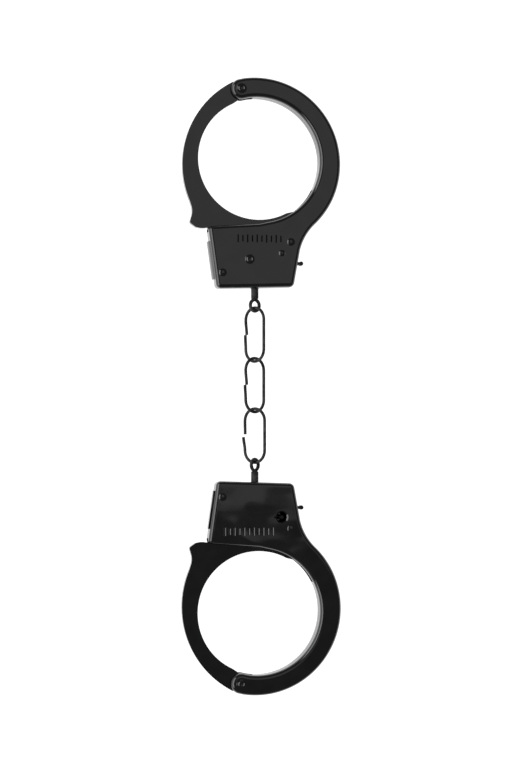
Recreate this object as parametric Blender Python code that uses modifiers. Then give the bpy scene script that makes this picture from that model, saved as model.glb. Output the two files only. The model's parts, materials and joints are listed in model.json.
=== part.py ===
"""A pair of pressed-steel handcuffs: two ratchet cuffs joined by two eye pins and three oval wire links.

Outlines and sizes are in millimetres, and MM turns them into the scene's metres. Each cuff is drawn in its
own frame: the origin is where the chain leaves the case, +Y points to the ring, +X to the release lever and
+Z out of the front face. Cuff B is cuff A turned half a turn about X, at the chain's other end.
"""

import math

import bmesh
import bpy

MM = 0.001

# The case and its sheet
CASE_DEPTH = 9.6
SHEET = 0.8
EDGE_ROUND = 2.0
SEAM_GAP = 0.3
ARC_STEP = 8.0  # degrees between points on the large arcs
CASE_CHAIN_LEFT = (-18.1, -0.4)
CASE_CHAIN_RIGHT = (17.5, 0.7)
CASE_RING_LEFT = (-22.1, 28.0)
CASE_LEVER_END = (20.5, 17.5)

# The ring: the fixed bow and the swing arm that closes it
PIVOT = (-6.85, 91.3)
NOSE_RADIUS = 4.65
BOW_CENTRE = (0.4, 57.75)
BOW_RADIUS = 39.05
RING_CENTRE = (1.0, 58.9)
RING_RADIUS = 28.75
ARM_THICKNESS = 3.0
ARM_OUTER_CENTRE = (9.4, 56.5)
ARM_OUTER_RADIUS = 43.1
ARM_INNER_CENTRE = (1.4, 59.45)
ARM_INNER_RADIUS = 27.86
ARM_EYE_RADIUS = 4.2
SLOT_DEPTH = 4.2  # the height of the slots that the arm passes through
NOSE_SLOT_RADIUS = 6.8
ENTRY_SLOT = [(-28, 25.6), (4, 25.6), (18, 31), (28.5, 44.5), (20, 50.5), (8, 40), (-28, 36)]
EXIT_SLOT = [(31.4, 36.4), (41, 32), (46, 50), (35, 52), (34, 42)]

# The ratchet, in polar sizes about the arm's pivot: angles run from straight down towards +X
TOOTH_TIP_RADIUS = 67.0
PLAIN_EDGE_RADIUS = 65.7
TOOTH_HEIGHT = 1.4
TOOTH_PITCH = 2.5
TOOTH_FIRST = -11.0
TOOTH_COUNT = 14
PAWL_TOOTH_FIRST = 5.25
PAWL_TOOTH_COUNT = 3
TOOTH_CLEARANCE = 0.4

# The lock work inside the case
PAWL_PIVOT = (-15.55, 6.9)
CASE_RIVET = (16.0, 21.3)
KEY_POST = (11.8, 16.1)
KEYHOLE_RADIUS = 2.3
SPRING_STUD = (-3.1, 13.1)
SPRING_WIRE = 0.6
SPRING_COIL_RADIUS = 1.7
RIVET_HEAD_HEIGHT = 0.5
RIVET_HEAD_RADIUS = 1.8
STUD_HEAD_RADIUS = 2.2
RIVET_SHANK_RADIUS = 0.9
KEY_POST_HEAD_RADIUS = 1.5
RUNNING_GAP = 0.3
SEAT_GAP = 0.1
LEVER_SLOT_DEPTH = 3.8
ARM_WASHER_RADIUS = 2.6
PAWL_WASHER_RADIUS = 1.7
EYE_WASHER_RADIUS = 3.1

# The chain
EYE_WIRE = 1.5
EYE_RADIUS = 2.55  # of the wire's centre line, as for the link's sizes below
EYE_REACH = 11.0
EYE_LEG_OFFSET = 1.05
EYE_HOLE_RADIUS = 2.1
EYE_TILTS = {"a": 28.0, "b": 42.0}
LINK_WIRE = 1.4
LINK_LENGTH = 24.6
LINK_WIDTH = 11.1
LINK_TILTS = (-52.0, 32.0, -46.0)
LINK_GAPS = (0.4, 0.4, 1.2)
EYE_TO_LINK = 1.55
LINK_TO_LINK = 1.5

HALF_DEPTH = CASE_DEPTH / 2
HALF_SLOT = SLOT_DEPTH / 2
INNER_FACE = HALF_DEPTH - SHEET
BORE_RADIUS = RIVET_SHANK_RADIUS + RUNNING_GAP
HEAD_TOP = HALF_DEPTH + SEAT_GAP + RIVET_HEAD_HEIGHT
EYE_TIP = EYE_REACH - EYE_WIRE / 2
CUFF_Y = EYE_TIP - EYE_TO_LINK + 1.5 * LINK_LENGTH - LINK_TO_LINK
CHAIN_X = -(ARM_OUTER_CENTRE[0] - ARM_OUTER_RADIUS + BOW_CENTRE[0] + BOW_RADIUS) / 2
CHAIN_Z = HEAD_TOP


# Outlines


def arc(centre, radius, start, end, step=ARC_STEP):
    """Points along an arc from one angle to another in degrees, both ends included."""
    count = max(2, math.ceil(abs(end - start) / step))
    angles = [math.radians(start + (end - start) * i / count) for i in range(count + 1)]
    return [(centre[0] + radius * math.cos(a), centre[1] + radius * math.sin(a)) for a in angles]


def arc_through(start, via, end, count=4):
    """Points along the arc that runs from start through via to end."""
    ax, ay = start[0] - end[0], start[1] - end[1]
    bx, by = via[0] - end[0], via[1] - end[1]
    cross = 2 * (ax * by - ay * bx)
    a2, b2 = ax * ax + ay * ay, bx * bx + by * by
    centre = (end[0] + (by * a2 - ay * b2) / cross, end[1] + (ax * b2 - bx * a2) / cross)
    first, middle, last = (
        math.degrees(math.atan2(p[1] - centre[1], p[0] - centre[0])) for p in (start, via, end)
    )
    sweep = (last - first) % 360
    if (middle - first) % 360 > sweep:
        sweep -= 360
    radius = math.dist(centre, start)
    return arc(centre, radius, first, first + sweep, abs(sweep) / count)


def circle(centre, radius, count=20):
    return arc(centre, radius, 0, 360, 360 / count)[:-1]


def box(low, high):
    return [low, (high[0], low[1]), high, (low[0], high[1])]


def about_pivot(radius, angle):
    """A point at a radius and an angle in degrees about the arm's pivot, from straight down towards +X."""
    a = math.radians(angle)
    return (PIVOT[0] + radius * math.sin(a), PIVOT[1] - radius * math.cos(a))


def case_outline():
    """The outline of both shells, anticlockwise from the chain side."""
    bow_root = (27.2, 29.5)
    bow_start = arc(BOW_CENTRE, BOW_RADIUS, -25, 0)[0]
    return [
        CASE_CHAIN_LEFT,
        CASE_CHAIN_RIGHT,
        *arc_through(CASE_LEVER_END, (22.5, 23.0), bow_root),
        *arc_through(bow_root, (32.0, 34.9), bow_start)[1:-1],
        *arc(BOW_CENTRE, BOW_RADIUS, -25, 99),
        *arc(PIVOT, NOSE_RADIUS, 120, 280, 20),
        *arc(RING_CENTRE, RING_RADIUS, 99, -76),
        (1.5, 29.6),
        CASE_RING_LEFT,
    ]


def tooth_row(radius, height, first, count):
    """The zigzag of a ratchet row about the pivot: roots at the first radius, tips a height further out."""
    half = TOOTH_PITCH / 2
    points = [about_pivot(radius, first)]
    for i in range(count):
        angle = first + i * TOOTH_PITCH
        points.append(about_pivot(radius + height, angle + half))
        points.append(about_pivot(radius, angle + TOOTH_PITCH))
    return points


def arm_outline():
    """The swing arm: its eye, the outer edge, the finger hook, the toothed edge and the inner edge."""
    root = TOOTH_TIP_RADIUS - TOOTH_HEIGHT
    tip_angle = TOOTH_FIRST + TOOTH_COUNT * TOOTH_PITCH + 2.5
    return [
        *arc(PIVOT, ARM_EYE_RADIUS, -90, 112, 20),
        *arc(ARM_OUTER_CENTRE, ARM_OUTER_RADIUS, 118, 204),
        (-29.3, 36.9),
        (-29.2, 35.2),
        (-29.7, 32.0),
        (-30.25, 30.2),
        (-29.6, 29.0),
        *[about_pivot(PLAIN_EDGE_RADIUS, angle) for angle in (-17.5, -14.0)],
        *tooth_row(root, TOOTH_HEIGHT, TOOTH_FIRST, TOOTH_COUNT),
        about_pivot(TOOTH_TIP_RADIUS, tip_angle - 1.0),
        about_pivot(TOOTH_TIP_RADIUS - 1.5, tip_angle),
        (19.5, 36.0),
        *arc(ARM_INNER_CENTRE, ARM_INNER_RADIUS, -62, -245),
    ]


def pawl_outline():
    """The pawl: a bar from its pivot to the release lever, with a toothed tower that stands up to the arm."""
    root = TOOTH_TIP_RADIUS - TOOTH_HEIGHT + TOOTH_CLEARANCE
    last = PAWL_TOOTH_FIRST + PAWL_TOOTH_COUNT * TOOTH_PITCH
    outer = root + TOOTH_HEIGHT
    teeth = [about_pivot(outer, last)]
    for i in reversed(range(PAWL_TOOTH_COUNT)):
        angle = PAWL_TOOTH_FIRST + i * TOOTH_PITCH
        teeth.append(about_pivot(root, angle + TOOTH_PITCH / 2))
        teeth.append(about_pivot(outer, angle))
    return [
        *arc(PAWL_PIVOT, 2.0, 100, 270, 20),
        (0.0, 7.7),
        (15.6, 9.9),
        (19.6, 11.1),
        *arc((21.4, 11.8), 1.0, -140, 140, 35),
        (19.6, 12.5),
        (13.4, 12.2),
        (7.6, 12.0),
        *teeth,
        (-0.6, 12.0),
    ]


# Making solids


def material(name, colour, metallic, roughness):
    made = bpy.data.materials.new(name)
    made.use_nodes = True
    shader = made.node_tree.nodes["Principled BSDF"]
    shader.inputs["Base Color"].default_value = (*colour, 1.0)
    shader.inputs["Metallic"].default_value = metallic
    shader.inputs["Roughness"].default_value = roughness
    return made


def place(obj, finish, parent=None, at=(0, 0, 0)):
    """Puts a sub-part in the object's collection, with its material, at a point in its parent's frame."""
    bpy.data.collections["handcuffs"].objects.link(obj)
    obj.data.materials.append(bpy.data.materials[finish])
    obj.parent = parent
    obj.location = [c * MM for c in at]
    return obj


def flat_curve(name, loops, thickness, fill="BOTH"):
    """A 2D curve as thick as a sheet: the first loop is its outline and the others are its holes."""
    curve = bpy.data.curves.new(name, "CURVE")
    curve.dimensions = "2D"
    curve.fill_mode = fill
    curve.extrude = thickness / 2 * MM
    for loop in loops:
        spline = curve.splines.new("POLY")
        spline.points.add(len(loop) - 1)
        for point, (x, y) in zip(spline.points, loop):
            point.co = (x * MM, y * MM, 0, 1)
        spline.use_cyclic_u = True
    return bpy.data.objects.new(name, curve)


def meshed(obj):
    """A curve object remade as a mesh object, with its caps welded and its flat faces merged."""
    bpy.context.scene.collection.objects.link(obj)
    mesh = bpy.data.meshes.new_from_object(obj.evaluated_get(bpy.context.evaluated_depsgraph_get()))
    name, curve = obj.name, obj.data
    bpy.data.objects.remove(obj)
    bpy.data.curves.remove(curve)
    bm = bmesh.new()
    bm.from_mesh(mesh)
    bmesh.ops.remove_doubles(bm, verts=bm.verts, dist=1e-6)
    bmesh.ops.dissolve_limit(bm, angle_limit=math.radians(1), verts=bm.verts, edges=bm.edges)
    bm.to_mesh(mesh)
    bm.free()
    mesh.shade_smooth()
    mesh.set_sharp_from_angle(angle=math.radians(40))
    return bpy.data.objects.new(name, mesh)


def cutter(name, outline, low, high, parent):
    """A closed block with the given outline between two heights, used to cut the shells."""
    obj = meshed(flat_curve(name, [outline], high - low))
    bpy.data.collections["cutters"].objects.link(obj)
    obj.parent = parent
    obj.location.z = (low + high) / 2 * MM
    obj.hide_render = True
    obj.display_type = "WIRE"
    return obj


def combine(obj, other, operation):
    boolean = obj.modifiers.new(other.name, "BOOLEAN")
    boolean.operation = operation
    boolean.object = other


def turned(name, profile, finish, parent, at, closed=False, steps=20):
    """A round piece about its own Z. The profile of (radius, height) runs down its outer side."""
    points = [(r * MM, 0, z * MM) for r, z in profile]
    edges = [(i, i + 1) for i in range(len(points) - 1)]
    if closed:
        edges.append((len(points) - 1, 0))
    mesh = bpy.data.meshes.new(name)
    mesh.from_pydata(points, edges, [])
    obj = place(bpy.data.objects.new(name, mesh), finish, parent, at)
    screw = obj.modifiers.new("Turn", "SCREW")
    screw.steps = screw.render_steps = steps
    screw.use_merge_vertices = True
    screw.merge_threshold = 1e-6
    return obj


def ring(name, inner, outer, low, high, finish, parent, at):
    """A washer or a spacer."""
    profile = [(outer, high), (outer, low), (inner, low), (inner, high)]
    return turned(name, profile, finish, parent, at, closed=True)


def wire(name, points, diameter, finish, parent=None, at=(0, 0, 0)):
    curve = bpy.data.curves.new(name, "CURVE")
    curve.dimensions = "3D"
    curve.bevel_depth = diameter / 2 * MM
    curve.bevel_resolution = 2
    curve.use_fill_caps = True
    spline = curve.splines.new("POLY")
    spline.points.add(len(points) - 1)
    for point, place_mm in zip(spline.points, points):
        point.co = (*[c * MM for c in place_mm], 1)
    return place(bpy.data.objects.new(name, curve), finish, parent, at)


# A cuff's pieces


def shell(name, facing, cutters, frame):
    """One pressed half of the case and bow: a tray whose flange meets the other half's at the middle."""
    height = HALF_DEPTH - SEAM_GAP / 2
    fill = "FRONT" if facing > 0 else "BACK"
    obj = place(meshed(flat_curve(name, [case_outline()], height, fill)), "black_paint", frame)
    obj.location.z = facing * (HALF_DEPTH - height / 2) * MM
    rounding = obj.modifiers.new("Pressed edge", "BEVEL")
    rounding.width = EDGE_ROUND * MM
    rounding.segments = 2
    rounding.limit_method = "ANGLE"
    rounding.angle_limit = math.radians(40)
    sheet = obj.modifiers.new("Sheet", "SOLIDIFY")
    sheet.thickness = SHEET * MM
    sheet.offset = -1
    sheet.use_even_offset = True
    for block in cutters:
        combine(obj, block, "DIFFERENCE")
    return obj


def arm_slots(side, frame):
    """The swing arm's ways through the flanges: at the nose, into the case, and out of the bow."""
    slots = {"nose": circle(PIVOT, NOSE_SLOT_RADIUS), "entry": ENTRY_SLOT, "exit": EXIT_SLOT}
    return [
        cutter(f"{name}_slot_{side}", outline, -HALF_SLOT, HALF_SLOT, frame)
        for name, outline in slots.items()
    ]


def shell_cutters(side, frame):
    """Everything that is cut out of both shells."""
    beyond = HALF_DEPTH + 1
    half_lever = LEVER_SLOT_DEPTH / 2
    lever = cutter(f"lever_slot_{side}", box((15.0, 6.6), (24.0, 13.8)), -half_lever, half_lever, frame)
    holes = {"pawl": PAWL_PIVOT, "case": CASE_RIVET, "arm": PIVOT}
    bores = [
        cutter(f"{name}_bore_{side}", circle(at, BORE_RADIUS, 16), -beyond, beyond, frame)
        for name, at in holes.items()
    ]
    eye = cutter(f"eye_bore_{side}", circle((0, 0), EYE_HOLE_RADIUS), -3, 4, frame)
    eye.location = (0, 0, 0)
    eye.rotation_euler.x = math.radians(90)
    return [*arm_slots(side, frame), lever, *bores, eye]


def tab(side, frame):
    """The front shell's locating tab, which laps over the back shell's flange on the case's left wall."""
    lean = math.atan2(CASE_RING_LEFT[0] - CASE_CHAIN_LEFT[0], CASE_RING_LEFT[1] - CASE_CHAIN_LEFT[1])
    along = (math.sin(lean), math.cos(lean))
    out = (-along[1], along[0])

    def at(run, stand):
        return tuple(CASE_CHAIN_LEFT[i] + along[i] * run + out[i] * stand for i in range(2))

    def strip(name, low, high, inner):
        outline = [at(4.5, inner), at(4.5, 0.8), at(22.0, 0.8), at(22.0, inner)]
        return cutter(f"{name}_{side}", outline, low, high, frame)

    return [strip("tab_lap", -2.6, 1.4, 0.2), strip("tab_root", 0.7, 2.2, -0.5)]


def shells(side, frame):
    """Both halves: the front one holds the stud and the key post, and the back one has the keyhole."""
    shared = shell_cutters(side, frame)
    beyond = HALF_DEPTH + 1
    stud_bore = cutter(f"stud_bore_{side}", circle(SPRING_STUD, BORE_RADIUS, 16), 0, beyond, frame)
    post_bore = cutter(f"post_bore_{side}", circle(KEY_POST, BORE_RADIUS, 16), 0, beyond, frame)
    keyhole = cutter(f"keyhole_{side}", circle(KEY_POST, KEYHOLE_RADIUS), -beyond, -1, frame)
    bit = box((KEY_POST[0] - 4.2, KEY_POST[1] - 0.7), (KEY_POST[0] - 1.2, KEY_POST[1] + 0.7))
    bit_slot = cutter(f"bit_slot_{side}", bit, -beyond - 0.2, -1.1, frame)
    front = shell(f"shell_front_{side}", 1, [*shared, stud_bore, post_bore], frame)
    for strip in tab(side, frame):
        combine(front, strip, "UNION")
    shell(f"shell_back_{side}", -1, [*shared, keyhole, bit_slot], frame)


def head(height, radius):
    """The domed rivet head above a height, as a profile from the axis outwards."""
    top = height + SEAT_GAP + RIVET_HEAD_HEIGHT
    return [(0, top), (radius * 0.6, top), (radius * 0.92, top - 0.16), (radius, height + SEAT_GAP)]


def through_rivet(name, at, radius, frame):
    """A rivet through both shells, with a head on each face."""
    upper = head(HALF_DEPTH, radius)
    shank = [(RIVET_SHANK_RADIUS, HALF_DEPTH + SEAT_GAP), (RIVET_SHANK_RADIUS, -HALF_DEPTH - SEAT_GAP)]
    lower = [(r, -z) for r, z in reversed(upper)]
    return turned(name, [*upper, *shank, *lower], "black_paint", frame, (*at, 0))


def half_rivet(name, at, radius, bottom, frame):
    """A post that is riveted into the front shell only and ends at a height inside the case."""
    profile = [
        *head(HALF_DEPTH, radius),
        (RIVET_SHANK_RADIUS, HALF_DEPTH + SEAT_GAP),
        (RIVET_SHANK_RADIUS, bottom),
        (0, bottom),
    ]
    return turned(name, profile, "black_paint", frame, (*at, 0))


def rivets(side, frame):
    """The rivets and posts, and the washers and spacer round them inside the case."""
    plate_top = ARM_THICKNESS / 2
    through_rivet(f"arm_rivet_{side}", PIVOT, RIVET_HEAD_RADIUS + 0.5, frame)
    through_rivet(f"pawl_rivet_{side}", PAWL_PIVOT, RIVET_HEAD_RADIUS, frame)
    through_rivet(f"case_rivet_{side}", CASE_RIVET, RIVET_HEAD_RADIUS, frame)
    half_rivet(f"spring_stud_{side}", SPRING_STUD, STUD_HEAD_RADIUS, -3.6, frame)
    half_rivet(f"key_post_{side}", KEY_POST, KEY_POST_HEAD_RADIUS, -4.2, frame)
    gap = INNER_FACE - 0.2
    arm_ring = (BORE_RADIUS, ARM_WASHER_RADIUS)
    pawl_ring = (BORE_RADIUS, PAWL_WASHER_RADIUS)
    ring(f"case_spacer_{side}", BORE_RADIUS, 2.0, -gap, gap, "bare_steel", frame, (*CASE_RIVET, 0))
    for facing, half in ((1, "front"), (-1, "back")):
        low, high = sorted((facing * (plate_top + 0.2), facing * gap))
        ring(f"arm_washer_{half}_{side}", *arm_ring, low, high, "bare_steel", frame, (*PIVOT, 0))
        ring(f"pawl_washer_{half}_{side}", *pawl_ring, low, high, "bare_steel", frame, (*PAWL_PIVOT, 0))


def moving_plate(name, outline, hole, finish, frame):
    """A flat lever whose origin is on its pivot."""
    loops = [outline, circle(hole, BORE_RADIUS, 16)]
    centred = [[(x - hole[0], y - hole[1]) for x, y in loop] for loop in loops]
    return place(meshed(flat_curve(name, centred, ARM_THICKNESS)), finish, frame, (*hole, 0))


def pawl_spring(side, frame):
    """The torsion spring round its stud, with a leg by the chain wall and a hook under the pawl."""
    low, turns, pitch, steps = 2.05, 2, 0.7, 12
    coil = []
    for i in range(turns * steps + 1):
        angle = math.radians(-60 - 360 * i / steps)
        x = SPRING_STUD[0] + SPRING_COIL_RADIUS * math.cos(angle)
        y = SPRING_STUD[1] + SPRING_COIL_RADIUS * math.sin(angle)
        coil.append((x, y, low + pitch * i / steps))
    top = coil[-1][2]
    hook = [(11.6, 8.4, -0.4), (11.6, 8.4, 1.6), (11.0, 8.6, low)]
    foot = [(6.5, 4.2, top), (9.0, 2.6, top)]
    return wire(f"pawl_spring_{side}", [*hook, *coil, *foot], SPRING_WIRE, "bare_steel", frame)


def eye_pin(side, frame):
    """The swivelling eye pin: a wire eye whose two legs pass into the case, through a washer, and spread."""
    centre = -EYE_REACH + EYE_RADIUS + EYE_WIRE / 2
    neck = math.degrees(math.acos(EYE_LEG_OFFSET / EYE_RADIUS))
    loop = arc((0, centre), EYE_RADIUS, neck, neck - 360 + 2 * (90 - neck), 18)
    spread = [(EYE_LEG_OFFSET + 1.5, 3.7), (EYE_LEG_OFFSET + 0.25, 2.7)]
    leg = [*spread, (EYE_LEG_OFFSET, 1.4), (EYE_LEG_OFFSET, -4.6)]
    path = [*leg, *loop, *[(-x, y) for x, y in reversed(leg)]]
    pin = wire(f"eye_pin_{side}", [(x, y, 0) for x, y in path], EYE_WIRE, "black_steel", frame)
    pin.rotation_euler.y = math.radians(EYE_TILTS[side] if side == "a" else -EYE_TILTS[side])
    radii = (EYE_HOLE_RADIUS, EYE_WASHER_RADIUS)
    washer = ring(f"eye_washer_{side}", *radii, -0.3, 0.3, "bare_steel", frame, (0, 1.55, 0))
    washer.rotation_euler.x = math.radians(90)


def cuff(side, turned_over):
    """One whole cuff, parented to an empty on the chain's line."""
    frame = bpy.data.objects.new(f"cuff_{side}", None)
    bpy.data.collections["handcuffs"].objects.link(frame)
    direction = -1 if turned_over else 1
    frame.location = (CHAIN_X * MM, direction * CUFF_Y * MM, CHAIN_Z * MM)
    frame.rotation_euler.x = math.pi if turned_over else 0
    shells(side, frame)
    rivets(side, frame)
    moving_plate(f"swing_arm_{side}", arm_outline(), PIVOT, "black_paint", frame)
    moving_plate(f"pawl_{side}", pawl_outline(), PAWL_PIVOT, "bare_steel", frame)
    pawl_spring(side, frame)
    eye_pin(side, frame)


def chain_link(number, top, tilt, gap):
    """An oval wire link, open by a small gap in the middle of its left leg, hanging down from its top."""
    radius = LINK_WIDTH / 2
    straight = LINK_LENGTH / 2 - radius
    path = [
        (-radius, gap / 2),
        *arc((0, straight), radius, 180, 0, 20),
        *arc((0, -straight), radius, 0, -180, 20),
        (-radius, -gap / 2),
    ]
    points = [(x, y, 0) for x, y in path]
    at = (CHAIN_X, top - LINK_LENGTH / 2, CHAIN_Z)
    obj = wire(f"link_{number}", points, LINK_WIRE, "black_steel", at=at)
    obj.rotation_euler.y = math.radians(tilt)


def chain():
    top = CUFF_Y - EYE_TIP + EYE_TO_LINK
    for i, (tilt, gap) in enumerate(zip(LINK_TILTS, LINK_GAPS)):
        chain_link(i + 1, top - i * (LINK_LENGTH - LINK_TO_LINK), tilt, gap)


def main():
    for old in list(bpy.data.objects):
        bpy.data.objects.remove(old)
    for name in ("handcuffs", "cutters"):
        bpy.context.scene.collection.children.link(bpy.data.collections.new(name))
    material("black_paint", (0.012, 0.012, 0.013), 0.0, 0.22)
    material("black_steel", (0.03, 0.03, 0.032), 0.6, 0.35)
    material("bare_steel", (0.45, 0.44, 0.42), 1.0, 0.35)
    cuff("a", False)
    cuff("b", True)
    chain()


main()
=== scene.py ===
"""The looks of a pair of black-painted pressed-steel handcuffs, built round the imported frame.

The shells, swing arms, rivets, eye pins and chain links are remade here at full detail in place of their
plain CAD nodes, and each eye pin gets a collar. The levers and the lock work inside the cases keep their
CAD meshes and get materials. Sizes are in millimetres, in each cuff's own frame: the origin is where the
chain leaves the case, +Y points to the ring, +X to the release lever and +Z out of the front face. Cuff B is
cuff A turned half a turn about X.
"""

import json
import math

import bmesh
import bpy
from mathutils import Matrix, Vector


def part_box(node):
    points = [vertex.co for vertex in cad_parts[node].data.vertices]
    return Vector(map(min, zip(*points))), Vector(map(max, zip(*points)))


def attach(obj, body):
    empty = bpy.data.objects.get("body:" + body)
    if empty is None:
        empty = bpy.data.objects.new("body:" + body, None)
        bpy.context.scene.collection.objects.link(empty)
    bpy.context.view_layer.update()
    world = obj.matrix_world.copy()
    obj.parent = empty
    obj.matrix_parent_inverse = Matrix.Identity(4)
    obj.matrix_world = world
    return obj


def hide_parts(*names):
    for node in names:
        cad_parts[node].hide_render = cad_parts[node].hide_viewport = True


MM = 0.001
ROUND_STEPS = 48
BEVELLED_ABOVE = 40.0  # degrees between faces
SHARP_ABOVE = 35.0

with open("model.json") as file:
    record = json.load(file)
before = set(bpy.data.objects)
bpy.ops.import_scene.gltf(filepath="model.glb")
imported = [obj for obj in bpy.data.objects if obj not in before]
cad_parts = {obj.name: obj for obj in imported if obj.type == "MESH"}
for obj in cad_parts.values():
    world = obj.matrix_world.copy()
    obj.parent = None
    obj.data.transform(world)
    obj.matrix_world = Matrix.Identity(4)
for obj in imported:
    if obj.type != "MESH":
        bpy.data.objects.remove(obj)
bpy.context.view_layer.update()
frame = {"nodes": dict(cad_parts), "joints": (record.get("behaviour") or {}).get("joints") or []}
JOINTS = {joint["name"]: joint for joint in frame["joints"]}
ORIGINS = {
    "a": Vector(JOINTS["eye_swivel_a"]["pos_m"]),
    "b": Vector(JOINTS["cuff_swivel_b"]["pos_m"]),
}
CUFFS = {
    "a": Matrix.Translation(ORIGINS["a"]),
    "b": Matrix.Translation(ORIGINS["b"]) @ Matrix.Rotation(math.pi, 4, "X"),
}


def in_cuff(joint):
    """A cuff A joint's place in the cuff's own frame, in millimetres."""
    point = CUFFS["a"].inverted() @ Vector(JOINTS[joint]["pos_m"])
    return (point.x / MM, point.y / MM)


# The pressed shells
CASE_DEPTH = 9.6
SHEET = 0.8
EDGE_ROUND = 2.0
SEAM_GAP = 0.3
SLOT_DEPTH = 4.2
FINE_STEP = 3.0  # degrees between points on the large arcs
CASE_CHAIN_LEFT = (-18.1, -0.4)
CASE_CHAIN_RIGHT = (17.5, 0.7)
CASE_RING_LEFT = (-22.1, 28.0)
CASE_LEVER_END = (20.5, 17.5)
PIVOT = in_cuff("swing_arm_a")
NOSE_RADIUS = 4.65
BOW_ROOT = (27.2, 29.5)
BOW_CENTRE = (0.4, 57.75)
BOW_RADIUS = 39.05
RING_CENTRE = (1.0, 58.9)
RING_RADIUS = 28.75
NOSE_SLOT_RADIUS = 6.8
ENTRY_SLOT = [
    *[(-28.0, 25.6), (4.0, 25.6), (18.0, 31.0), (28.5, 44.5)],
    *[(20.0, 50.5), (8.0, 40.0), (-28.0, 36.0)],
]
EXIT_SLOT = [(31.4, 36.4), (41.0, 32.0), (46.0, 50.0), (35.0, 52.0), (34.0, 42.0)]
LEVER_SLOT = ((15.0, 6.6), (24.0, 13.8))
LEVER_SLOT_DEPTH = 3.8
STROKES = {
    "front": {"first": -8.5, "count": 10, "width": 0.6, "depth": 0.5},
    "back": {"first": -14.5, "count": 11, "width": 0.9, "depth": 0.36},
}
STROKE_PITCH = 2.2
STROKE_ROW = 22.6
STROKE_HEIGHTS = (3.6, 2.9)
TAB_RUN = (4.5, 22.0)
TAB_PROFILE = [(-0.5, 2.9), (0.0, 2.8), (0.8, 1.0), (0.8, -2.6), (0.2, -2.6), (0.2, 0.6), (-0.5, 1.9)]

# The swing arm
ARM_THICKNESS = 3.0
ARM_EDGE = 0.35
ARM_OUTER_CENTRE = (9.4, 56.5)
ARM_OUTER_RADIUS = 43.1
ARM_INNER_CENTRE = (1.4, 59.45)
ARM_INNER_RADIUS = 27.86
ARM_EYE_RADIUS = 4.2
TOOTH_TIP_RADIUS = 67.0
HOOK_EDGE = [(66.9, -18.0), (66.7, -16.2), (66.3, -14.9), (65.7, -13.7)]  # radius and angle about the pivot
TOOTH_HEIGHT = 1.4
TOOTH_PITCH = 2.5
TOOTH_FIRST = -11.0
TOOTH_COUNT = 14

# The rivets
PAWL_PIVOT = in_cuff("pawl_release_a")
CASE_RIVET = (16.0, 21.3)
KEY_POST = (11.8, 16.1)
KEYHOLE_RADIUS = 2.3
KEYHOLE_LIP = 0.65
BIT_SLOT = ((-4.2, -0.7), (-1.2, 0.7))  # from the key post
SPRING_STUD = (-3.1, 13.1)
SHANK_RADIUS = 0.9
BORE_RADIUS = 1.1
HEAD_TOP = 5.4
THROUGH_RIVETS = {
    "arm_rivet": {"at": PIVOT, "radius": 2.3, "peened": True},
    "pawl_rivet": {"at": PAWL_PIVOT, "radius": 1.8, "peened": False},
    "case_rivet": {"at": CASE_RIVET, "radius": 1.8, "peened": False},
}
POSTS = {
    "spring_stud": {"at": SPRING_STUD, "radius": 2.2, "bottom": -3.6, "peened": True},
    "key_post": {"at": KEY_POST, "radius": 1.5, "bottom": -4.2, "peened": False},
}

# The chain
EYE_WIRE = 1.6
EYE_RADIUS = 2.55
EYE_REACH = 11.0
EYE_LEG_OFFSET = 0.8
EYE_HOLE_RADIUS = 2.1
EYE_HOLE_RUN = (-3, 4)
EYE_LEG_END = -4.6
COLLAR_PROFILE = [(0, 4.7), (1.45, 4.7), (1.7, 4.45), (1.7, -0.1), (1.5, -0.3), (0, -0.3)]
EYE_TILTS = {"a": 28.0, "b": 42.0}
LINK_WIRE = 1.4
LINK_LENGTH = 24.6
LINK_WIDTH = 11.1
LEG_STEPS = 8
WIRE_STEP = 10  # degrees between points on the links' round ends
LINKS = {
    "link_1": {"tilt": -52.0, "upper_in": 0.6, "lower_out": 0.3, "gap": 0.05},
    "link_2": {"tilt": 32.0, "upper_in": 0.6, "lower_out": 0.4, "gap": 0.05},
    "link_3": {"tilt": -46.0, "upper_in": 0.1, "lower_out": 0.85, "gap": 1.2},
}

# The paint's ripple
RIPPLE_SEED = 3.0

# The studio in metres, and its radiances, where 1 is plain white
TABLE_SIZE = 6.0
TABLE_RADIANCE = 1.1
ROOM_RADIANCE = 0.12
CARD = {"centre": (0.17, 0.322, 1.0), "size": (0.8, 0.8), "radiance": 0.44}
SOFTBOX = {"centre": (-0.9, 0.05, 0.5), "size": (1.6, 0.75), "radiance": 3.0}
STRIP = {"centre": (1.1, -0.1, 0.12), "size": (1.2, 0.15), "radiance": 1.5}

# The camera
CAMERA_YAW = 10.0
CAMERA_PITCH = 2.0
CAMERA_DISTANCE = 0.95
CAMERA_AIM = (-0.0023, 0.0005)
CAMERA_LENS = 64.95

HALF_DEPTH = CASE_DEPTH / 2
HALF_SLOT = SLOT_DEPTH / 2
BEYOND = HALF_DEPTH + 1  # where the tools that cut through a face end


# Outlines


def arc(centre, radius, start, end, step=FINE_STEP):
    """Points along an arc from one angle to another in degrees, both ends included."""
    count = max(2, math.ceil(abs(end - start) / step))
    angles = [math.radians(start + (end - start) * i / count) for i in range(count + 1)]
    return [(centre[0] + radius * math.cos(a), centre[1] + radius * math.sin(a)) for a in angles]


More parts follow.
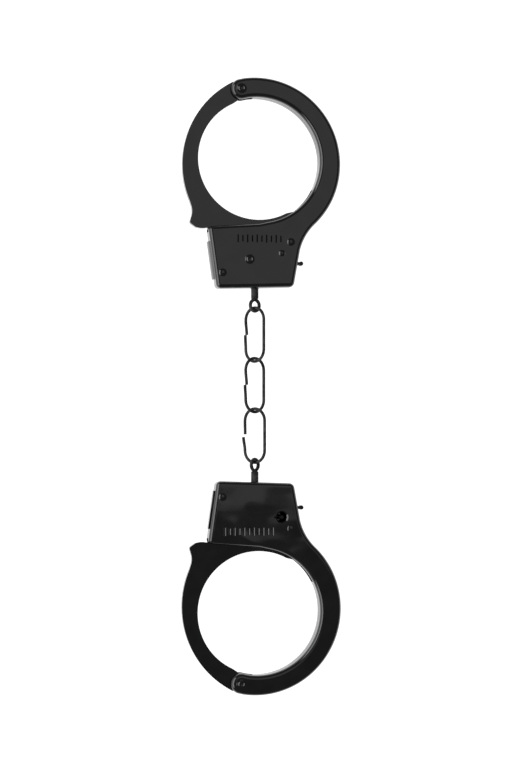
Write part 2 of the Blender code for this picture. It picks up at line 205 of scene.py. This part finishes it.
def arc_through(start, via, end, count=12):
    """Points along the arc that runs from start through via to end."""
    ax, ay = start[0] - end[0], start[1] - end[1]
    bx, by = via[0] - end[0], via[1] - end[1]
    cross = 2 * (ax * by - ay * bx)
    a2, b2 = ax * ax + ay * ay, bx * bx + by * by
    centre = (end[0] + (by * a2 - ay * b2) / cross, end[1] + (ax * b2 - bx * a2) / cross)
    first, middle, last = (
        math.degrees(math.atan2(p[1] - centre[1], p[0] - centre[0])) for p in (start, via, end)
    )
    sweep = (last - first) % 360
    if (middle - first) % 360 > sweep:
        sweep -= 360
    return arc(centre, math.dist(centre, start), first, first + sweep, abs(sweep) / count)


def circle(centre, radius):
    return arc(centre, radius, 0, 360, 360 / ROUND_STEPS)[:-1]


def box(low, high):
    return [low, (high[0], low[1]), high, (low[0], high[1])]


def about_pivot(radius, angle):
    """A point at a radius and an angle in degrees about the arm's pivot, from straight down towards +X."""
    a = math.radians(angle)
    return (PIVOT[0] + radius * math.sin(a), PIVOT[1] - radius * math.cos(a))


def case_outline():
    """The outline of both shells, anticlockwise from the chain side."""
    bow_start = arc(BOW_CENTRE, BOW_RADIUS, -25, 0)[0]
    return [
        CASE_CHAIN_LEFT,
        CASE_CHAIN_RIGHT,
        *arc_through(CASE_LEVER_END, (22.5, 23.0), BOW_ROOT),
        *arc_through(BOW_ROOT, (32.0, 34.9), bow_start)[1:-1],
        *arc(BOW_CENTRE, BOW_RADIUS, -25, 99),
        *arc(PIVOT, NOSE_RADIUS, 110, 280, 8),
        *arc(RING_CENTRE, RING_RADIUS, 99, -76),
        (1.5, 29.6),
        CASE_RING_LEFT,
    ]


def tooth_row():
    """The arm's ratchet teeth: a zigzag about the pivot."""
    root = TOOTH_TIP_RADIUS - TOOTH_HEIGHT
    points = [about_pivot(root, TOOTH_FIRST)]
    for i in range(TOOTH_COUNT):
        angle = TOOTH_FIRST + i * TOOTH_PITCH
        points.append(about_pivot(TOOTH_TIP_RADIUS, angle + TOOTH_PITCH / 2))
        points.append(about_pivot(root, angle + TOOTH_PITCH))
    return points


def arm_outline():
    """The swing arm: its eye, the outer edge, the finger hook, the toothed edge and the inner edge."""
    tip_angle = TOOTH_FIRST + TOOTH_COUNT * TOOTH_PITCH + 2.5
    return [
        *arc(PIVOT, ARM_EYE_RADIUS, -90, 112, 8),
        *arc(ARM_OUTER_CENTRE, ARM_OUTER_RADIUS, 118, 203),
        *arc_through((-29.6, 37.6), (-29.2, 35.2), (-29.7, 32.2), 6),
        *arc_through((-30.15, 30.6), (-30.1, 29.7), (-29.5, 29.1), 4),
        *[about_pivot(radius, angle) for radius, angle in HOOK_EDGE],
        *tooth_row(),
        about_pivot(TOOTH_TIP_RADIUS, tip_angle - 1.0),
        about_pivot(TOOTH_TIP_RADIUS - 1.5, tip_angle),
        (19.5, 36.0),
        *arc(ARM_INNER_CENTRE, ARM_INNER_RADIUS, -62, -245),
    ]


# Making pieces


def flat_curve(name, loops, thickness, fill="BOTH"):
    """A 2D curve as thick as a sheet: the first loop is its outline and the others are its holes."""
    curve = bpy.data.curves.new(name, "CURVE")
    curve.dimensions = "2D"
    curve.fill_mode = fill
    curve.extrude = thickness / 2 * MM
    for loop in loops:
        spline = curve.splines.new("POLY")
        spline.points.add(len(loop) - 1)
        for point, (x, y) in zip(spline.points, loop):
            point.co = (x * MM, y * MM, 0, 1)
        spline.use_cyclic_u = True
    return bpy.data.objects.new(name, curve)


def evaluated_mesh(obj):
    """The mesh that an object has after its modifiers."""
    return bpy.data.meshes.new_from_object(obj.evaluated_get(bpy.context.evaluated_depsgraph_get()))


def meshed(curve_object):
    """A curve object remade as a mesh object, with its caps welded and its flat faces merged."""
    bpy.context.scene.collection.objects.link(curve_object)
    mesh = evaluated_mesh(curve_object)
    name = curve_object.name
    bpy.data.objects.remove(curve_object)
    bm = bmesh.new()
    bm.from_mesh(mesh)
    bmesh.ops.remove_doubles(bm, verts=bm.verts, dist=1e-6)
    bmesh.ops.dissolve_limit(bm, angle_limit=math.radians(1), verts=bm.verts, edges=bm.edges)
    bm.to_mesh(mesh)
    bm.free()
    obj = bpy.data.objects.new(name, mesh)
    bpy.context.scene.collection.objects.link(obj)
    return obj


def block(name, outline, low, high):
    """A closed block with the given outline between two heights."""
    obj = meshed(flat_curve(name, [outline], high - low))
    obj.location.z = (low + high) / 2 * MM
    return obj


def bevel(obj, width, segments):
    rounding = obj.modifiers.new("Rounding", "BEVEL")
    rounding.width = width * MM
    rounding.segments = segments
    rounding.limit_method = "ANGLE"
    rounding.angle_limit = math.radians(BEVELLED_ABOVE)


def combine(obj, others, operation):
    for other in others:
        boolean = obj.modifiers.new(other.name, "BOOLEAN")
        boolean.operation = operation
        boolean.object = other


def settle(obj, tools=()):
    """Applies an object's modifiers, removes the blocks that they used and shades its round faces smooth."""
    mesh = evaluated_mesh(obj)
    obj.modifiers.clear()
    obj.data = mesh
    for tool in tools:
        bpy.data.objects.remove(tool)
    mesh.shade_smooth()
    mesh.set_sharp_from_angle(angle=math.radians(SHARP_ABOVE))
    weights = obj.modifiers.new("Flat faces stay flat", "WEIGHTED_NORMAL")
    weights.keep_sharp = True
    return obj


def finish_piece(obj, side, body, node, material):
    """Puts a piece that was made in the cuff's own frame on its body, in place of its CAD node."""
    obj.data.materials.clear()
    obj.data.materials.append(material)
    obj.matrix_world = CUFFS[side] @ obj.matrix_world
    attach(obj, body)
    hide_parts(node)


def turned(name, profile, at):
    """A round piece about its own Z. The profile of (radius, height) runs down its outer side."""
    mesh = bpy.data.meshes.new(name)
    points = [(r * MM, 0, z * MM) for r, z in profile]
    edges = [(i, i + 1) for i in range(len(profile) - 1)]
    mesh.from_pydata(points, edges, [])
    obj = bpy.data.objects.new(name, mesh)
    bpy.context.scene.collection.objects.link(obj)
    screw = obj.modifiers.new("Turn", "SCREW")
    screw.steps = ROUND_STEPS
    screw.render_steps = ROUND_STEPS
    screw.use_merge_vertices = True
    screw.merge_threshold = 1e-6
    obj.location = (at[0] * MM, at[1] * MM, 0)
    return settle(obj)


def wire(name, points, diameter):
    """A round wire through the given points, with its cut ends closed."""
    curve = bpy.data.curves.new(name, "CURVE")
    curve.dimensions = "3D"
    curve.bevel_depth = diameter / 2 * MM
    curve.bevel_resolution = 5
    curve.use_fill_caps = True
    spline = curve.splines.new("POLY")
    spline.points.add(len(points) - 1)
    for point, place in zip(spline.points, points):
        point.co = (*[c * MM for c in place], 1)
    spline.use_smooth = True
    obj = bpy.data.objects.new(name, curve)
    bpy.context.scene.collection.objects.link(obj)
    return obj


# Materials


class Nodes:
    """A short way to write a Principled material's node tree."""

    def __init__(self, name):
        self.material = bpy.data.materials.new(name)
        self.material.use_nodes = True
        self.tree = self.material.node_tree
        self.shader = self.tree.nodes["Principled BSDF"]
        self.place = self.add("ShaderNodeTexCoord").outputs["Object"]

    def add(self, kind, **settings):
        node = self.tree.nodes.new(kind)
        for key, value in settings.items():
            setattr(node, key, value)
        return node

    def link(self, start, end):
        self.tree.links.new(start, end)

    def set(self, **values):
        for key, value in values.items():
            self.shader.inputs[key.replace("_", " ")].default_value = value

    def noise(self, feature_mm, detail=2.0, roughness=0.5, seed=0.0):
        """A noise whose lumps are about this many millimetres across."""
        node = self.add("ShaderNodeTexNoise", noise_dimensions="4D")
        node.inputs["W"].default_value = seed
        node.inputs["Scale"].default_value = 1 / (feature_mm * MM)
        node.inputs["Detail"].default_value = detail
        node.inputs["Roughness"].default_value = roughness
        self.link(self.place, node.inputs["Vector"])
        return node.outputs["Fac"]

    def ramp(self, value, low, high, dark, light):
        """Maps a value from low..high to dark..light, which are numbers or colours."""
        if isinstance(dark, tuple):
            node = self.add("ShaderNodeValToRGB")
            node.color_ramp.elements[0].position = low
            node.color_ramp.elements[1].position = high
            node.color_ramp.elements[0].color = (*dark, 1)
            node.color_ramp.elements[1].color = (*light, 1)
            self.link(value, node.inputs["Fac"])
            return node.outputs["Color"]
        node = self.add("ShaderNodeMapRange")
        for key, number in zip(("From Min", "From Max", "To Min", "To Max"), (low, high, dark, light)):
            node.inputs[key].default_value = number
        self.link(value, node.inputs["Value"])
        return node.outputs["Result"]

    def bump(self, height, depth_mm, below=None):
        """Bumps of this depth for a height of 0 to 1, on top of the bumps below them."""
        node = self.add("ShaderNodeBump")
        node.inputs["Strength"].default_value = 1.0
        node.inputs["Distance"].default_value = depth_mm * MM
        self.link(height, node.inputs["Height"])
        if below:
            self.link(below, node.inputs["Normal"])
        return node.outputs["Normal"]


def black_paint():
    """Thick gloss black enamel, so the ripple of the pressed sheet bends what it reflects."""
    n = Nodes("black_paint")
    n.set(Metallic=0.0, IOR=1.5, Coat_Weight=0.3, Coat_Roughness=0.03, Coat_IOR=1.5)
    colour = n.ramp(n.noise(6, 3), 0.35, 0.7, (0.005, 0.005, 0.0055), (0.009, 0.009, 0.0095))
    n.link(colour, n.shader.inputs["Base Color"])
    n.link(n.ramp(n.noise(9, 4, 0.6), 0.35, 0.7, 0.045, 0.1), n.shader.inputs["Roughness"])
    ripple = n.bump(n.noise(14, 1.0, seed=RIPPLE_SEED), 0.45)
    n.link(n.bump(n.noise(1.1, 1.5), 0.0015, ripple), n.shader.inputs["Normal"])
    return n.material


def black_wire():
    """Black-plated steel wire: half-glossy, rubbed to grey in streaks."""
    n = Nodes("black_wire")
    n.set(Metallic=0.0, IOR=1.3, Specular_IOR_Level=0.12)
    colour = n.ramp(n.noise(2.5, 5, 0.65), 0.4, 0.75, (0.025, 0.025, 0.0265), (0.1, 0.1, 0.103))
    n.link(colour, n.shader.inputs["Base Color"])
    n.link(n.ramp(n.noise(1.2, 4, 0.6), 0.3, 0.75, 0.28, 0.42), n.shader.inputs["Roughness"])
    n.link(n.bump(n.noise(0.9, 2), 0.008), n.shader.inputs["Normal"])
    return n.material


def bare_steel(name, dark, light, roughness):
    """Plain steel of the lock work, with a rolled grain and a spotty film of oil."""
    n = Nodes(name)
    n.set(Metallic=1.0)
    n.link(n.ramp(n.noise(3, 5, 0.65), 0.35, 0.7, dark, light), n.shader.inputs["Base Color"])
    n.link(n.ramp(n.noise(1.5, 4), 0.3, 0.7, roughness, roughness + 0.18), n.shader.inputs["Roughness"])
    n.link(n.bump(n.noise(0.35, 3), 0.006), n.shader.inputs["Normal"])
    return n.material


# Shells


def arm_slots():
    """The swing arm's ways through the flanges: at the nose, into the case and out of the bow."""
    slots = {"nose": circle(PIVOT, NOSE_SLOT_RADIUS), "entry": ENTRY_SLOT, "exit": EXIT_SLOT}
    return [block(name, outline, -HALF_SLOT, HALF_SLOT) for name, outline in slots.items()]


def keyhole():
    """The keyhole in the back shell: a round hole with a sloping lip, and a slot for the key's bit."""
    low, high = (tuple(a + b for a, b in zip(KEY_POST, corner)) for corner in BIT_SLOT)
    bottom = -HALF_DEPTH + KEYHOLE_LIP
    lip = [(0, bottom), (KEYHOLE_RADIUS - 0.05, bottom), (KEYHOLE_RADIUS + 1.6, -BEYOND), (0, -BEYOND)]
    hole = block("keyhole", circle(KEY_POST, KEYHOLE_RADIUS), -BEYOND, -1)
    slot = block("bit_slot", box(low, high), -BEYOND - 0.2, -1.1)
    cone = turned("keyhole_lip", lip, KEY_POST)
    cone.modifiers.clear()  # its weighted normals would be passed on to the shell
    return [hole, slot, cone]


def case_holes(facing):
    """The lever slot, the rivets' bores and the eye pin's hole, and what only one of the shells has."""
    tools = [block("lever", box(*LEVER_SLOT), -LEVER_SLOT_DEPTH / 2, LEVER_SLOT_DEPTH / 2)]
    for i, at in enumerate((PAWL_PIVOT, CASE_RIVET, PIVOT)):
        tools.append(block(f"bore_{i}", circle(at, BORE_RADIUS), -BEYOND, BEYOND))
    eye = block("eye_hole", circle((0, 0), EYE_HOLE_RADIUS), *EYE_HOLE_RUN)
    eye.location = (0, 0, 0)
    eye.rotation_euler.x = math.radians(90)
    tools.append(eye)
    if facing < 0:
        return [*tools, *keyhole()]
    tools.append(block("stud_bore", circle(SPRING_STUD, BORE_RADIUS), 0, BEYOND))
    tools.append(block("post_bore", circle(KEY_POST, BORE_RADIUS), 0, BEYOND))
    return tools


def strokes(facing):
    """The row of plain V-shaped strokes near the ring, in place of the maker's lettering."""
    row = STROKES["front" if facing > 0 else "back"]
    above = 0.2
    half = row["width"] / 2 * (1 + above / row["depth"])
    top = HALF_DEPTH + above
    profile = [(-half, facing * top), (0.0, facing * (HALF_DEPTH - row["depth"])), (half, facing * top)]
    tools = []
    for i in range(row["count"]):
        height = STROKE_HEIGHTS[i % 2]
        obj = block(f"stroke_{i}", profile, -height / 2, height / 2)
        place = Matrix.Translation(Vector((row["first"] + STROKE_PITCH * i, STROKE_ROW, 0)) * MM)
        obj.matrix_world = place @ Matrix.Rotation(math.radians(90), 4, "X")
        tools.append(obj)
    return tools


def tab():
    """The front shell's locating tab: joggled out of its left wall, it laps over the back shell's wall.

    The profile is (distance out of the wall, height), and it runs along the wall.
    """
    lean = math.atan2(CASE_RING_LEFT[0] - CASE_CHAIN_LEFT[0], CASE_RING_LEFT[1] - CASE_CHAIN_LEFT[1])
    along = Vector((math.sin(lean), math.cos(lean), 0))
    out = Vector((-along.y, along.x, 0))
    obj = block("tab", TAB_PROFILE, *TAB_RUN)
    start = Vector((*CASE_CHAIN_LEFT, 0)) * MM + along * obj.location.z
    axes = Matrix((out, Vector((0, 0, 1)), along)).transposed().to_4x4()
    obj.matrix_world = Matrix.Translation(start) @ axes
    return obj


def shell(side, facing, material):
    """One pressed half of the case and bow, with its rolled edge, slots, holes and pressed strokes."""
    half = "front" if facing > 0 else "back"
    height = HALF_DEPTH - SEAM_GAP / 2
    fill = "FRONT" if facing > 0 else "BACK"
    obj = meshed(flat_curve(f"pressed_shell_{half}_{side}", [case_outline()], height, fill))
    obj.location.z = facing * (HALF_DEPTH - height / 2) * MM
    bevel(obj, EDGE_ROUND, 6)
    sheet = obj.modifiers.new("Sheet", "SOLIDIFY")
    sheet.thickness = SHEET * MM
    sheet.offset = -1
    sheet.use_even_offset = True
    cuts = [*arm_slots(), *case_holes(facing), *strokes(facing)]
    combine(obj, cuts, "DIFFERENCE")
    laps = [tab()] if facing > 0 else []
    combine(obj, laps, "UNION")
    settle(obj, [*cuts, *laps])
    finish_piece(obj, side, f"cuff_{side}", f"shell_{half}_{side}", material)


# The rest of a cuff


def swing_arm(side, material):
    loops = [arm_outline(), circle(PIVOT, BORE_RADIUS)]
    obj = meshed(flat_curve(f"toothed_arm_{side}", loops, ARM_THICKNESS))
    bevel(obj, ARM_EDGE, 3)
    settle(obj)
    finish_piece(obj, side, f"arm_{side}", f"swing_arm_{side}", material)


def head(radius, peened=False):
    """A domed rivet head on the front face, as a profile from the axis outwards; a peened one is dished."""
    seat = HALF_DEPTH + 0.02
    rise = HEAD_TOP - seat
    ball = (radius**2 + rise**2) / (2 * rise)
    steps = [radius * i / 9 for i in range(10)]
    dome = [(r, HEAD_TOP - ball + math.sqrt(ball**2 - r**2)) for r in steps]
    if peened:
        rim = radius * 0.52
        dish = [(0, 0.35), (0.55, 0.33), (0.85, 0.12), (1, 0)]  # share of the rim's radius, and depth
        inner = [(rim * share, HEAD_TOP - depth) for share, depth in dish]
        dome = [*inner, *[p for p in dome if p[0] > rim * 1.15]]
    return [*dome, (radius, seat - 0.01)]


def rivets(side, material):
    """The rivets: three through both shells, and the spring stud and key post in the front shell only."""
    profiles = {}
    for name, rivet in THROUGH_RIVETS.items():
        upper = head(rivet["radius"], rivet["peened"])
        shank = [(SHANK_RADIUS, HALF_DEPTH - 0.1), (SHANK_RADIUS, -HALF_DEPTH + 0.1)]
        profiles[name] = [*upper, *shank, *[(r, -z) for r, z in reversed(upper)]]
    for name, post in POSTS.items():
        bottom = post["bottom"]
        upper = head(post["radius"], post["peened"])
        shank = [(SHANK_RADIUS, HALF_DEPTH - 0.1), (SHANK_RADIUS, bottom + 0.15)]
        profiles[name] = [*upper, *shank, (SHANK_RADIUS - 0.15, bottom), (0, bottom)]
    for name, profile in profiles.items():
        at = {**THROUGH_RIVETS, **POSTS}[name]["at"]
        obj = turned(f"domed_{name}_{side}", profile, at)
        finish_piece(obj, side, f"cuff_{side}", f"{name}_{side}", material)


def eye_pin(side, material):
    """The swivelling eye pin: a wire eye whose two legs pass into the case and spread."""
    centre = -EYE_REACH + EYE_RADIUS + EYE_WIRE / 2
    neck = math.degrees(math.acos(EYE_LEG_OFFSET / EYE_RADIUS))
    loop = arc((0, centre), EYE_RADIUS, neck, neck - 360 + 2 * (90 - neck), 8)
    spread = [(EYE_LEG_OFFSET + 1.5, 3.7), (EYE_LEG_OFFSET + 0.25, 2.7)]
    leg = [*spread, (EYE_LEG_OFFSET, 1.4), (EYE_LEG_OFFSET, EYE_LEG_END)]
    path = [*leg, *loop, *[(-x, y) for x, y in reversed(leg)]]
    obj = wire(f"wire_eye_{side}", [(x, y, 0) for x, y in path], EYE_WIRE)
    obj.rotation_euler.y = math.radians(EYE_TILTS[side] if side == "a" else -EYE_TILTS[side])
    bpy.context.view_layer.update()
    finish_piece(obj, side, f"eye_{side}", f"eye_pin_{side}", material)


def eye_collar(side, material):
    """The collar round the eye pin's neck. It is an extra piece, with no CAD node of its own."""
    obj = turned(f"eye_collar_{side}", COLLAR_PROFILE, (0, 0))
    obj.rotation_euler.x = math.radians(90)
    bpy.context.view_layer.update()
    obj.data.materials.append(material)
    obj.matrix_world = CUFFS[side] @ obj.matrix_world
    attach(obj, f"eye_{side}")


def eased(start, end):
    """Points from start to end that leave and arrive along Y."""
    points = []
    for i in range(LEG_STEPS + 1):
        across = (1 - math.cos(math.pi * i / LEG_STEPS)) / 2
        x = start[0] + (end[0] - start[0]) * across
        y = start[1] + (end[1] - start[1]) * i / LEG_STEPS
        points.append((x, y))
    return points


def chain_link(name, shape, material):
    """An oval wire link whose two cut ends meet, a little out of line, half way along its left leg."""
    low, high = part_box(name)
    radius = LINK_WIDTH / 2
    straight = LINK_LENGTH / 2 - radius
    gap = shape["gap"] / 2
    upper_end = (-radius + shape["upper_in"], gap)
    lower_end = (-radius - shape["lower_out"], -gap)
    path = eased(upper_end, (-radius, straight))[:-1]
    path += arc((0, straight), radius, 180, 0, WIRE_STEP)
    path += arc((0, -straight), radius, 0, -180, WIRE_STEP)
    path += eased((-radius, -straight), lower_end)[1:]
    tilt = math.radians(shape["tilt"])
    points = [(x * math.cos(tilt), y, -x * math.sin(tilt)) for x, y in path]
    obj = wire(f"wire_{name}", points, LINK_WIRE)
    obj.data.materials.append(material)
    obj.location = (ORIGINS["a"].x, (low.y + high.y) / 2, ORIGINS["a"].z)
    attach(obj, name)
    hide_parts(name)


def lock_work(side, steel, dark_steel):
    """The lever and the pieces inside the case keep their CAD shapes and get their materials."""
    bare = ["case_spacer", "pawl_spring", "eye_washer"]
    bare += [f"{part}_washer_{half}" for part in ("arm", "pawl") for half in ("front", "back")]
    finishes = {**{name: steel for name in bare}, "pawl": dark_steel}
    for name, material in finishes.items():
        node = frame["nodes"][f"{name}_{side}"]
        node.data.materials.clear()
        node.data.materials.append(material)


# The studio


def studio():
    """A bright white table in a dark room."""
    bpy.ops.mesh.primitive_plane_add(size=TABLE_SIZE)
    floor = bpy.context.object
    floor.name = "floor"
    white = bpy.data.materials.new("white_table")
    white.use_nodes = True
    shader = white.node_tree.nodes["Principled BSDF"]
    shader.inputs["Base Color"].default_value = (0.3, 0.3, 0.3, 1)
    shader.inputs["Roughness"].default_value = 1.0
    shader.inputs["Specular IOR Level"].default_value = 0.0
    shader.inputs["Emission Color"].default_value = (1, 1, 1, 1)
    shader.inputs["Emission Strength"].default_value = TABLE_RADIANCE
    floor.data.materials.append(white)

    world = bpy.data.worlds.new("studio")
    bpy.context.scene.world = world
    world.use_nodes = True
    world.node_tree.nodes["Background"].inputs["Color"].default_value = (*[ROOM_RADIANCE] * 3, 1)


def area_light(name, centre, size, radiance):
    """A soft light that faces the middle of the object, as bright as a white card of this radiance."""
    data = bpy.data.lights.new(name, "AREA")
    data.shape = "RECTANGLE"
    data.size, data.size_y = size
    data.energy = radiance * math.pi * size[0] * size[1]
    light = bpy.data.objects.new(name, data)
    light.location = centre
    light.rotation_euler = (-Vector(centre)).to_track_quat("-Z", "Y").to_euler()
    bpy.context.scene.collection.objects.link(light)
    return light


def lights():
    """A level card overhead, a softbox on the left and a narrow strip on the right."""
    card = area_light("overhead_card", **CARD)
    card.rotation_euler = (0, 0, 0)
    area_light("left_softbox", **SOFTBOX)
    area_light("right_strip", **STRIP)


def camera():
    """Nearly straight down, from a little to the left and towards cuff B."""
    yaw, pitch = math.radians(CAMERA_YAW), math.radians(CAMERA_PITCH)
    away = Vector((-math.sin(yaw) * math.cos(pitch), -math.sin(pitch), math.cos(yaw) * math.cos(pitch)))
    right = Vector((0, 1, 0)).cross(away).normalized()
    axes = Matrix((right, away.cross(right), away)).transposed().to_4x4()
    aim = Vector((*CAMERA_AIM, ORIGINS["a"].z))
    data = bpy.data.cameras.new("camera")
    data.sensor_fit = "VERTICAL"
    data.sensor_height = 24.0
    data.lens = CAMERA_LENS
    view = bpy.data.objects.new("camera", data)
    view.matrix_world = Matrix.Translation(aim + away * CAMERA_DISTANCE) @ axes
    bpy.context.scene.collection.objects.link(view)
    bpy.context.scene.camera = view


def main():
    paint, chain_wire = black_paint(), black_wire()
    steel = bare_steel("zinc_steel", (0.33, 0.32, 0.3), (0.5, 0.49, 0.46), 0.28)
    dark_steel = bare_steel("dark_steel", (0.03, 0.03, 0.032), (0.07, 0.07, 0.072), 0.3)
    for side in "ab":
        shell(side, 1, paint)
        shell(side, -1, paint)
        swing_arm(side, paint)
        rivets(side, paint)
        eye_pin(side, chain_wire)
        eye_collar(side, chain_wire)
        lock_work(side, steel, dark_steel)
    for name, shape in LINKS.items():
        chain_link(name, shape, chain_wire)
    studio()
    lights()
    camera()
    bpy.context.scene.view_settings.view_transform = "Standard"


main()
